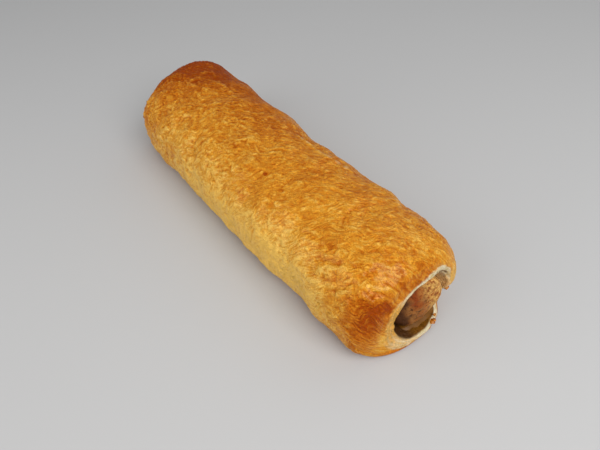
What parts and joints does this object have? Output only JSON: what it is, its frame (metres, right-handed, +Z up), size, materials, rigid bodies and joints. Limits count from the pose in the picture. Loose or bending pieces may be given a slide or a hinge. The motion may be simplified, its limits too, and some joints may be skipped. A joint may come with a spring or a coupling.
{
  "type": "frikandel roll",
  "caption": "Long baked puff pastry roll, open at both ends, round a minced meat sausage that shows in its mouths.",
  "frame": {"origin": "The middle of the footprint of the whole roll, on the surface that it rests on.", "axes": "+Z is up. X runs along the roll, with the gaping end that the picture shows at +X. +Y is the side with the overlap of the dough, and -Y the pale side."},
  "size_m": [0.1744, 0.0634, 0.0377],
  "materials": {
    "baked_pastry": "glazed, flaky",
    "minced_meat": "grainy, slightly greasy"
  },
  "bodies": {
    "root": {"pastry": "baked_pastry", "frikandel": "minced_meat"}
  },
  "joints": []
}
